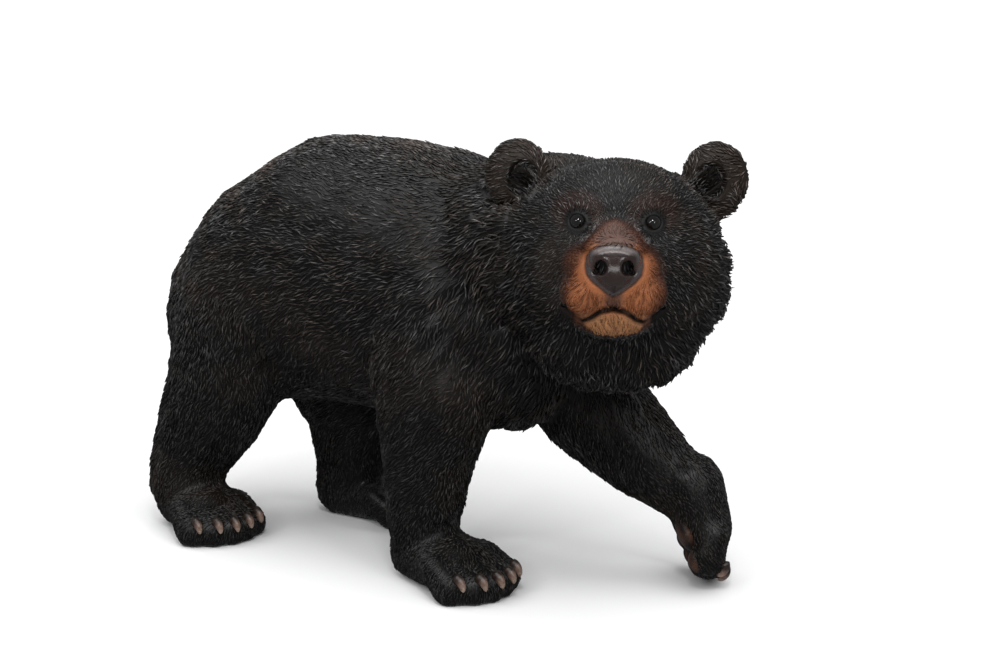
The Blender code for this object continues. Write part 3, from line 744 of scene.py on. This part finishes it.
def bare(places):
    """1 where the casting shows no strokes: the nose, the lips and round the eyes."""
    forward, side, up = in_head(places).T
    on_side = np.abs(side)
    muzzle = smooth(11.0, 12.0, forward) * smooth(-0.9, -0.5, nose_inside(side, up))
    above = over_mouth(on_side, up)
    lips = (gap_to_line(side, up, MOUTH) < 0.40) | ((above > 0.0) & (above < 0.75) & (on_side < 5.0))
    lips = lips & (forward > 8.0)
    eyes = (np.hypot(on_side - EYE[0], (up - EYE[1]) * 1.08) < 1.12) & (forward > 5.0)
    return np.maximum(muzzle, np.maximum(lips, eyes))


def body_keeps(places, normals):
    own = in_head(places)
    keep = np.ones(len(places))
    near = (own[:, 0] > FACE_BACK) & (np.linalg.norm(own, axis=1) < 22.0)
    keep[near] = stands_off(face_tree, places[near])[0] > 0.0006
    keep[places[:, 2] < 0.004] = 0.0
    return keep


def face_keeps(places, normals):
    own = in_head(places)
    keep = 1.0 - bare(places)
    keep[own[:, 0] < -4.5] = 0.0
    keep[stands_off(body_tree, places)[0] < -0.0012] = 0.0
    ear = ear_reach(np.abs(own[:, 1]), own[:, 2])
    keep[(ear < 0.7) & (own[:, 0] > -3.4) & (own[:, 0] < 2.0)] *= 0.4
    return keep


CROWD = 0.62
body_roots = throw_roots(body.data, body_keeps, CROWD, 11)
face_roots = throw_roots(face.data, face_keeps, CROWD, 12)
print("roots:", len(body_roots[0]), "on the body,", len(face_roots[0]), "on the face")

# %% [markdown]
# One stroke is a three-sided cone, cut across so that it can bend. Each copy is bent along a path of
# its own that follows the skin and the comb, sunk at the root and lifted at the tip. Copying one
# small mesh fifty thousand times is a job for arrays and not for an operator: the template comes
# from the operators, and only its copies are placed with arrays.

# %% A stroke and its copies


def stroke_template(parts):
    """A three-sided cone along X from 0 to 1, cut across into parts, as corner places and faces."""
    bm = bmesh.new()
    bmesh.ops.create_cone(bm, cap_ends=True, segments=3, radius1=1.0, radius2=0.0, depth=1.0)
    bmesh.ops.remove_doubles(bm, verts=bm.verts, dist=1e-6)
    bmesh.ops.rotate(bm, verts=bm.verts, matrix=Matrix.Rotation(math.pi / 2, 3, "Y"))
    bmesh.ops.translate(bm, verts=bm.verts, vec=(0.5, 0.0, 0.0))
    for part in range(1, parts):
        geom = bm.verts[:] + bm.edges[:] + bm.faces[:]
        bmesh.ops.bisect_plane(bm, geom=geom, dist=1e-6, plane_co=(part / parts, 0, 0), plane_no=(1, 0, 0))
    bmesh.ops.recalc_face_normals(bm, faces=bm.faces)
    bm.verts.index_update()
    corners = np.array([v.co for v in bm.verts])
    corners[:, 0] = np.clip(corners[:, 0], 0.0, 1.0)
    faces = [[v.index for v in f.verts] for f in bm.faces]
    bm.free()
    thick = np.maximum(1.0 - corners[:, 0], 1e-9)
    corners[:, 1:] /= thick[:, None]
    corners[corners[:, 0] > 0.999, 1:] = 0.0
    # One corner of each ring is the ridge: turned to +Z, the others lie left and right below it
    ridge = corners[np.abs(corners[:, 0]) < 1e-6]
    top = ridge[np.argmax(np.hypot(ridge[:, 1], ridge[:, 2]))]
    angle = math.atan2(top[1], top[2])
    turn = np.array(((math.cos(angle), -math.sin(angle)), (math.sin(angle), math.cos(angle))))
    corners[:, 1:] = corners[:, 1:] @ turn.T
    return corners, faces


RIDGE_HEIGHT = 1.35
# Grey and brown of the dry brush, which also serve as the painted highlight on the strokes' ridges
DUST_AND_HIGHLIGHT = np.array((0.050, 0.049, 0.049))
BROWN_DUST_AND_HIGHLIGHT = np.array((0.051, 0.042, 0.037))


def lay_strokes(name, roots, outward, tree, parts, seed):
    """One mesh of strokes, each bent along the comb and the skin."""
    dice = np.random.default_rng(seed)
    count = len(roots)
    flow, long, wide, lift = comb_at(roots)
    temper = dice.uniform(0.75, 1.25, count)
    swerve = 0.30 * ripple(roots, 0.035, seed + 1) + dice.normal(0.0, 0.21, count)
    curl = dice.normal(0.0, 0.22, count) + 0.25 * ripple(roots, 0.02, seed + 2)
    path, ways, ups = [roots], [], [outward]
    for part in range(parts + 1):
        here, up = path[-1], ups[-1]
        way = flow if part == 0 else comb_at(here)[0]
        way = way - up * (way * up).sum(1, keepdims=True)
        way /= np.linalg.norm(way, axis=1, keepdims=True) + 1e-9
        angle = (swerve + curl * part / parts)[:, None]
        way = way * np.cos(angle) + np.cross(up, way) * np.sin(angle)
        ways.append(way)
        if part == parts:
            break
        ahead = here + way * (long * temper / parts)[:, None]
        spots, normals = ahead.copy(), up.copy()
        for index, place in enumerate(ahead.tolist()):
            spot, normal, _, _ = tree.find_nearest(place, 0.02)
            if spot is not None:
                spots[index], normals[index] = spot, normal
        normals = normals + up
        path.append(spots)
        ups.append(normals / (np.linalg.norm(normals, axis=1, keepdims=True) + 1e-9))
    corners, faces = stroke_template(parts)
    half = wide * 0.5 * temper
    lift = lift * dice.uniform(0.5, 1.5, count) * (1.0 + 0.5 * ripple(roots, 0.012, seed + 3))
    placed = np.empty((count, len(corners), 3))
    for slot, (along, across, high) in enumerate(corners):
        part = int(round(along * parts))
        swell = math.sin(math.pi * (0.22 + 0.78 * along)) ** 0.8 if along < 0.999 else 0.0
        aside = np.cross(ups[part], ways[part])
        raised = wide * (0.10 - 0.25 * (1.0 - along)) + lift * temper * along ** 1.2
        off = aside * (half * across * swell)[:, None]
        off += ups[part] * (raised + half * RIDGE_HEIGHT * high * swell)[:, None]
        placed[:, slot] = path[part] + off
    placed[:, :, 2] = np.maximum(placed[:, :, 2], 0.0006)
    mesh = bpy.data.meshes.new(name)
    mesh.vertices.add(count * len(corners))
    mesh.vertices.foreach_set("co", placed.reshape(-1))
    loops = np.concatenate([np.array(f) for f in faces])
    sizes = np.array([len(f) for f in faces])
    starts = np.concatenate([[0], np.cumsum(sizes)[:-1]])
    shift = np.arange(count)[:, None]
    mesh.loops.add(count * len(loops))
    mesh.loops.foreach_set("vertex_index", (loops[None, :] + shift * len(corners)).reshape(-1))
    mesh.polygons.add(count * len(sizes))
    mesh.polygons.foreach_set("loop_start", (starts[None, :] + shift * len(loops)).reshape(-1))
    mesh.polygons.foreach_set("use_smooth", np.ones(count * len(sizes), dtype=bool))
    mesh.update(calc_edges=True)
    mesh.validate()
    # Painted shade at each stroke's root, sunk among the others, and a painted highlight on its ridge and tip
    ridge = np.where(corners[:, 0] > 0.99, 0.8, np.maximum(corners[:, 2], 0.0))
    shade = (0.5 + 0.6 * corners[:, 0]) * (0.6 + 0.5 * ridge)
    paint = paint_at(roots)
    plain = smooth(0.02, 0.08, paint[:, 0])
    temper = 1.0 + dice.uniform(-0.3, 0.3, count) * (1.0 - 0.5 * plain)
    shade = shade[None, :] + (1.0 - shade[None, :]) * 0.7 * plain[:, None]
    colours = paint[:, None, :] * (temper[:, None] * shade)[:, :, None]
    # A dry brush leaves grey dust on the ridges of the black, and the same grey is a painted highlight there
    dust_and_highlight = np.minimum(np.exp(dice.normal(-0.1, 0.75, count)), 3.2)
    dust_and_highlight *= smooth(0.05, 0.015, paint[:, 0]) * smooth(0.0026, 0.0040, paint[:, 0])
    # Painted highlight: more of it higher up and on the back, where the overhead light falls
    dust_and_highlight *= 0.35 + 0.75 * smooth(0.20, 0.47, roots[:, 2])
    own = in_head(roots)
    # Painted shade: less of it round the neck, which lies in the shadow of the head
    shade_under_head = smooth(30.0, 20.0, np.linalg.norm(own, axis=1)) * smooth(-3.0, -6.0, own[:, 0])
    dust_and_highlight *= 1.0 - 0.55 * shade_under_head
    dust_and_highlight_tint = blend(np.tile(DUST_AND_HIGHLIGHT, (count, 1)), BROWN_DUST_AND_HIGHLIGHT, smooth(0.0, 0.9, ripple(roots, 0.05, 7)))
    ridge_dust_and_highlight = ridge * smooth(0.1, 0.6, corners[:, 0])
    colours += dust_and_highlight_tint[:, None, :] * (dust_and_highlight[:, None] * ridge_dust_and_highlight[None, :])[:, :, None]
    put_paint(mesh, colours.reshape(-1, 3))
    piece = bpy.data.objects.new(name, mesh)
    scene.collection.objects.link(piece)
    print(name, count, "strokes", count * int((sizes - 2).sum()), "triangles")
    return piece


# %% [markdown]
# The strokes are laid region by region, so that no piece grows too heavy. Short strokes have two
# parts and ten triangles, the long ones of the neck, the ruff and the chest three parts and sixteen.

# %% Lay the fur
roots, outward = body_roots
squares = (roots - np.array(HOME)) / SQUARE
_, long, _, _ = comb_at(roots)
legs = squares[:, 2] < 23.0
shaggy = (long > 0.0142) & ~legs
regions = {
    "back_fur": ~legs & ~shaggy & (squares[:, 2] > 41.0),
    "right_flank_fur": ~legs & ~shaggy & (squares[:, 2] <= 41.0) & (squares[:, 1] < 0.0),
    "left_flank_fur": ~legs & ~shaggy & (squares[:, 2] <= 41.0) & (squares[:, 1] >= 0.0),
    "foreleg_fur": legs & (squares[:, 0] > 4.0),
    "hindleg_fur": legs & (squares[:, 0] <= 4.0),
}
fur = []
for seed, (name, where) in enumerate(regions.items(), start=20):
    fur.append(lay_strokes(name, roots[where], outward[where], body_tree, 2, seed))
fur.append(lay_strokes("ruff_fur", roots[shaggy], outward[shaggy], body_tree, 3, 30))
fur.append(lay_strokes("head_fur", *face_roots, face_tree, 2, 31))

# %% [markdown]
# A claw is a bar that hooks down: the template is a fourteen-sided bar, cut across seven times, and
# each cross-section is moved on to the bend. It thins like a teardrop and ends round, because a cast
# claw is never sharp. Twenty of them share one mesh.

# %% Claws
PAW_HALF_WIDTH, TOE_RADIUS, TOES = 5.6, 1.8, 5
CLAW_LENGTH, CLAW_WIDTH = 0.0200, 0.0132
HORN = np.array((0.098, 0.062, 0.047))
HORN_TIP = np.array((0.185, 0.132, 0.103))


def toe_tips(reach):
    for toe in range(TOES):
        share = toe / (TOES - 1) * 2 - 1
        yield share * (PAW_HALF_WIDTH - TOE_RADIUS * 0.7) * 1.06, reach - 1.9 * share * share


bm = bmesh.new()
tone = []
for wrist, heading, pitch, reach in PAWS.values():
    paw = turned(pitch, heading, wrist)
    for side, tip in toe_tips(reach):
        claw = bmesh.new()
        bmesh.ops.create_cone(claw, cap_ends=True, segments=14, radius1=1.0, radius2=1.0, depth=1.0)
        for cut in (0.15, 0.3, 0.45, 0.6, 0.72, 0.84, 0.93):
            geom = claw.verts[:] + claw.edges[:] + claw.faces[:]
            bmesh.ops.bisect_plane(claw, geom=geom, dist=1e-6, plane_co=(0, 0, cut - 0.5), plane_no=(0, 0, 1))
        root = Vector((tip + TOE_RADIUS * 1.05, side, -0.1)) * SQUARE
        for vert in claw.verts:
            share = vert.co.z + 0.5
            bend = math.radians(12.0 + 44.0 * share)
            width = CLAW_WIDTH / 2 * (1.0 - share ** 2.6) ** 0.5 * (1.0 - 0.25 * share) + 0.0004
            along = CLAW_LENGTH * (share - 0.32)
            spine = root + Vector((along * math.cos(bend), 0.0, -along * math.sin(bend)))
            high = vert.co.x * width * 1.05
            aside = vert.co.y * width * 0.9
            vert.co = paw @ (spine + Vector((math.sin(bend) * high, aside, math.cos(bend) * high)))
            tone.append(share)
        lump = bpy.data.meshes.new("lump")
        bmesh.ops.recalc_face_normals(claw, faces=claw.faces)
        claw.to_mesh(lump)
        claw.free()
        bm.from_mesh(lump)
        bpy.data.meshes.remove(lump)
claws = new_piece("claws", bm)
tone = np.array(tone)
horn = blend(np.tile(HORN * 0.15, (len(tone), 1)), HORN, smooth(0.30, 0.60, tone))
put_paint(claws.data, blend(horn, HORN_TIP, smooth(0.6, 1.0, tone)))
for face_of in claws.data.polygons:
    face_of.use_smooth = True
print("claws", len(claws.data.polygons), "faces")

# %% [markdown]
# Under the lifted paw the leathery pads show, painted red-brown: a heel pad, a broad palm and one
# under each toe. They are flattened balls set into the sole, roughened by the material.

# %% Pads under the lifted paw
PAD_DARK, PAD_RED = np.array((0.010, 0.007, 0.006)), np.array((0.048, 0.022, 0.014))
wrist, heading, pitch, reach = PAWS["left fore"]
lifted = turned(pitch, heading, wrist)


def put_pad(bm, centre, radii):
    size = Matrix.Diagonal((*[r * SQUARE for r in radii], 1.0))
    place = lifted @ Matrix.Translation(Vector(centre) * SQUARE) @ size
    bmesh.ops.create_icosphere(bm, subdivisions=4, radius=1.0, matrix=place)


bm = bmesh.new()
put_pad(bm, (-1.4, 0.0, -2.9), (1.9, 2.4, 1.05))
for side in (-1.9, 1.9):
    put_pad(bm, (reach * 0.40, side, -2.8), (2.3, 2.7, 1.1))
put_pad(bm, (reach * 0.40 + 0.5, 0.0, -2.8), (2.3, 2.4, 1.1))
for side, tip in toe_tips(reach):
    put_pad(bm, (tip - 0.1, side, -2.9), (1.5, 1.25, 1.05))
pads = new_piece("paw_pads", bm)
remeshed(pads, 0.0022, 4)
places = vertex_values(pads.data)
rubbed = smooth(-0.5, 0.7, ripple(places, 0.012, 41))
put_paint(pads.data, blend(np.tile(PAD_DARK, (len(places), 1)), PAD_RED, rubbed))
print("pads", len(pads.data.polygons), "faces")

# %% [markdown]
# The eyes are black glass. The solid's balls are right in size and place but coarse, so finer ones
# take their place, with a dark brown iris that only shows from close by.

# %% Eyes
GLASS_RADIUS = 0.0095
IRIS = np.array((0.006, 0.004, 0.003))
eyes = {}
for node in ("right_eye", "left_eye"):
    low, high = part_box(node)
    middle = (low + high) / 2
    aim = Matrix.Translation(middle) @ look.to_track_quat("Z", "Y").to_matrix().to_4x4()
    bm = bmesh.new()
    bmesh.ops.create_uvsphere(bm, u_segments=48, v_segments=32, radius=GLASS_RADIUS, matrix=aim)
    ball = new_piece(node + "_glass", bm)
    off = (vertex_values(ball.data) - np.array(middle)) @ np.array(look) / GLASS_RADIUS
    tone = np.tile(NIGHT, (len(off), 1))
    tone = blend(tone, IRIS, smooth(0.72, 0.78, off) * smooth(0.93, 0.89, off))
    put_paint(ball.data, tone)
    for face_of in ball.data.polygons:
        face_of.use_smooth = True
    eyes[node] = ball
    print(node, "glass at", middle)

# %% [markdown]
# Every finish is painted resin, so one recipe serves them all: the painted colour, broken by a fine
# speckle, a gloss that varies a little from spot to spot, and a grain of its own size. The fur is
# satin, the nose and the pads are pebbled leather, the claws are smoother and the eyes are polished.
# The overhead sun's wide disc would lie on the glass as a grey haze, so the eyes are kept out of its
# light and show the three small lights alone.

# %% Materials


def resin(name, roughness, grain, bump, coat=0.0, pebbles=0.0, speckle=0.35, shine=0.5):
    """A painted resin: colour from the paint, speckled and grained in steps of grain metres."""
    made = bpy.data.materials.new(name)
    made.use_nodes = True
    tree = made.node_tree
    shader = tree.nodes["Principled BSDF"]
    add = tree.nodes.new

    place = add("ShaderNodeTexCoord")
    paint = add("ShaderNodeAttribute")
    paint.attribute_name = "paint"
    fine = add("ShaderNodeTexNoise")
    fine.inputs["Scale"].default_value = 1.0 / grain
    fine.inputs["Detail"].default_value = 4.0
    tree.links.new(place.outputs["Object"], fine.inputs["Vector"])
    broad = add("ShaderNodeTexNoise")
    broad.inputs["Scale"].default_value = 38.0
    broad.inputs["Detail"].default_value = 3.0
    tree.links.new(place.outputs["Object"], broad.inputs["Vector"])

    tone = add("ShaderNodeMapRange")
    tone.inputs["From Min"].default_value = 0.3
    tone.inputs["From Max"].default_value = 0.7
    tone.inputs["To Min"].default_value = 1.0 - speckle
    tone.inputs["To Max"].default_value = 1.0 + speckle
    tree.links.new(fine.outputs["Fac"], tone.inputs["Value"])
    patch = add("ShaderNodeMapRange")
    patch.inputs["From Min"].default_value = 0.3
    patch.inputs["From Max"].default_value = 0.7
    patch.inputs["To Min"].default_value = 0.82
    patch.inputs["To Max"].default_value = 1.18
    tree.links.new(broad.outputs["Fac"], patch.inputs["Value"])
    both = add("ShaderNodeMath")
    both.operation = "MULTIPLY"
    tree.links.new(tone.outputs["Result"], both.inputs[0])
    tree.links.new(patch.outputs["Result"], both.inputs[1])
    colour = add("ShaderNodeVectorMath")
    colour.operation = "SCALE"
    tree.links.new(paint.outputs["Color"], colour.inputs[0])
    tree.links.new(both.outputs["Value"], colour.inputs["Scale"])
    tree.links.new(colour.outputs["Vector"], shader.inputs["Base Color"])

    gloss = add("ShaderNodeMapRange")
    gloss.inputs["From Min"].default_value = 0.3
    gloss.inputs["From Max"].default_value = 0.7
    gloss.inputs["To Min"].default_value = roughness * 0.85
    gloss.inputs["To Max"].default_value = min(1.0, roughness * 1.2)
    tree.links.new(broad.outputs["Fac"], gloss.inputs["Value"])
    tree.links.new(gloss.outputs["Result"], shader.inputs["Roughness"])

    relief = add("ShaderNodeBump")
    relief.inputs["Strength"].default_value = bump
    relief.inputs["Distance"].default_value = grain * 0.4
    if pebbles:
        cells = add("ShaderNodeTexVoronoi")
        cells.inputs["Scale"].default_value = 1.0 / pebbles
        tree.links.new(place.outputs["Object"], cells.inputs["Vector"])
        tree.links.new(cells.outputs["Distance"], relief.inputs["Height"])
        relief.invert = True
    else:
        tree.links.new(fine.outputs["Fac"], relief.inputs["Height"])
    tree.links.new(relief.outputs["Normal"], shader.inputs["Normal"])
    shader.inputs["Specular IOR Level"].default_value = shine
    shader.inputs["Coat Weight"].default_value = coat
    shader.inputs["Coat Roughness"].default_value = 0.12
    return made


fur_resin = resin("black fur resin", 0.39, 0.0012, 0.25, shine=0.22)
skin_resin = resin("painted face resin", 0.48, 0.0010, 0.6, shine=0.15)
body.data.materials.append(fur_resin)
face.data.materials.append(skin_resin)
nose_resin = resin("nose leather resin", 0.24, 0.0012, 0.45, coat=0.5, pebbles=0.0011, shine=0.3)
face.data.materials.append(nose_resin)
middles = np.empty(len(face.data.polygons) * 3)
face.data.polygons.foreach_get("center", middles)
forward, side, up = in_head(middles.reshape(-1, 3)).T
on_nose = (nose_inside(side, up) > -0.15) & (forward > NOSE_FRONT)
face.data.polygons.foreach_set("material_index", on_nose.astype(np.int32))
for piece in fur:
    piece.data.materials.append(fur_resin)
claws.data.materials.append(resin("horn coloured resin", 0.38, 0.0025, 0.25, coat=0.1, shine=0.3))
pads.data.materials.append(resin("pad leather resin", 0.5, 0.0016, 0.9, pebbles=0.0022, shine=0.15))
glass = resin("black eye glass", 0.04, 0.004, 0.0, coat=0.6, speckle=0.1)
out_of_the_sun = bpy.data.collections.new("out of the sun")
overhead.light_linking.receiver_collection = out_of_the_sun
for ball in eyes.values():
    ball.data.materials.append(glass)
    out_of_the_sun.objects.link(ball)
for entry in out_of_the_sun.collection_objects:
    entry.light_linking.link_state = "EXCLUDE"
for skin in (body, face, pads):
    skin.data.polygons.foreach_set("use_smooth", np.ones(len(skin.data.polygons), dtype=bool))

# %% [markdown]
# Last, every piece is attached to the body it rides on. The solid bear is hidden behind its dressed
# skin, and each coarse eye behind its glass.

# %% Ride, and hide the solid
shown = [body, face, claws, pads, *fur]
for piece in shown:
    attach(piece, "root")
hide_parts("bear")
for node, ball in eyes.items():
    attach(ball, "root")
    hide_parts(node)
total = sum(sum(len(p.vertices) - 2 for p in piece.data.polygons) for piece in [*shown, *eyes.values()])
low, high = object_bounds()
print("triangles in all", total, "box", low, high)
